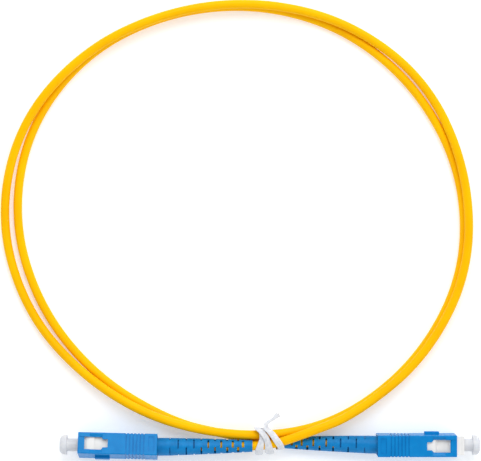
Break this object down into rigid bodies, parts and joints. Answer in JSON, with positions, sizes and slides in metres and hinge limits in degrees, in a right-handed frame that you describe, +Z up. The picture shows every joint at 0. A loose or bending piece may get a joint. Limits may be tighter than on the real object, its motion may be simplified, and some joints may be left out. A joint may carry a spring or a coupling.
{
  "type": "fiber optic patch cord",
  "caption": "Simplex fibre optic patch cord: a jacketed fibre in tied loose turns with a push-pull square plug, sprung ferrule, boot and dust cap at each end.",
  "frame": {"origin": "on the surface the cord lies on, below the tie and midway between the two plugs' outer ends", "axes": "+X along the plugs towards plug b, +Y towards the middle of the turns, +Z up"},
  "size_m": [0.1647, 0.1579, 0.0106],
  "materials": {
    "blue_grip": "satin moulded PBT",
    "blue_boot": "soft satin elastomer",
    "white_frame": "satin moulded PBT",
    "ceramic": "polished zirconia",
    "steel": "turned, nickel plated",
    "spring_steel": "drawn wire",
    "crimp_metal": "drawn tube",
    "liner": "waxy PTFE",
    "buffer": "coated fibre",
    "clear_cap": "translucent soft plastic",
    "yellow_jacket": "satin PVC",
    "aramid": "loose strands",
    "white_tie": "satin film"
  },
  "bodies": {
    "root": {"plug_frame_a": "white_frame", "back_post_a": "steel", "crimp_sleeve_a": "crimp_metal", "liner_tube_a": "liner", "boot_a": "blue_boot", "ferrule_spring_a": "spring_steel", "plug_frame_b": "white_frame", "back_post_b": "steel", "crimp_sleeve_b": "crimp_metal", "liner_tube_b": "liner", "boot_b": "blue_boot", "ferrule_spring_b": "spring_steel", "cord_jacket": "yellow_jacket", "aramid_yarn": "aramid", "optical_fibre": "buffer", "twist_tie": "white_tie", "twist_tie_wire": "steel"},
    "grip_a": {"grip_a": "blue_grip"},
    "ferrule_a": {"ferrule_a": "ceramic", "ferrule_flange_a": "steel", "fibre_tail_a": "buffer"},
    "cap_a": {"dust_cap_a": "clear_cap"},
    "grip_b": {"grip_b": "blue_grip"},
    "ferrule_b": {"ferrule_b": "ceramic", "ferrule_flange_b": "steel", "fibre_tail_b": "buffer"},
    "cap_b": {"dust_cap_b": "clear_cap"}
  },
  "joints": [
    {"name": "grip_slide_a", "type": "slide", "parent": "root", "child": "grip_a", "axis": [-0.9997, 0.0244, 0], "range_m": [-0.0029, 0]},
    {"name": "ferrule_slide_a", "type": "slide", "parent": "root", "child": "ferrule_a", "axis": [-0.9997, 0.0244, 0], "range_m": [-0.0012, 0], "stiffness_N_per_m": 2500, "springref_m": 0.001, "deforming": ["ferrule_spring_a"]},
    {"name": "cap_slide_a", "type": "slide", "parent": "root", "child": "cap_a", "axis": [-0.9997, 0.0244, 0], "range_m": [-0.0011, 0.015]},
    {"name": "grip_slide_b", "type": "slide", "parent": "root", "child": "grip_b", "axis": [1, 0, 0], "range_m": [0, 0.0029]},
    {"name": "ferrule_slide_b", "type": "slide", "parent": "root", "child": "ferrule_b", "axis": [1, 0, 0], "range_m": [-0.0012, 0], "stiffness_N_per_m": 2500, "springref_m": 0.001, "deforming": ["ferrule_spring_b"]},
    {"name": "cap_slide_b", "type": "slide", "parent": "root", "child": "cap_b", "axis": [1, 0, 0], "range_m": [0, 0.015]}
  ]
}
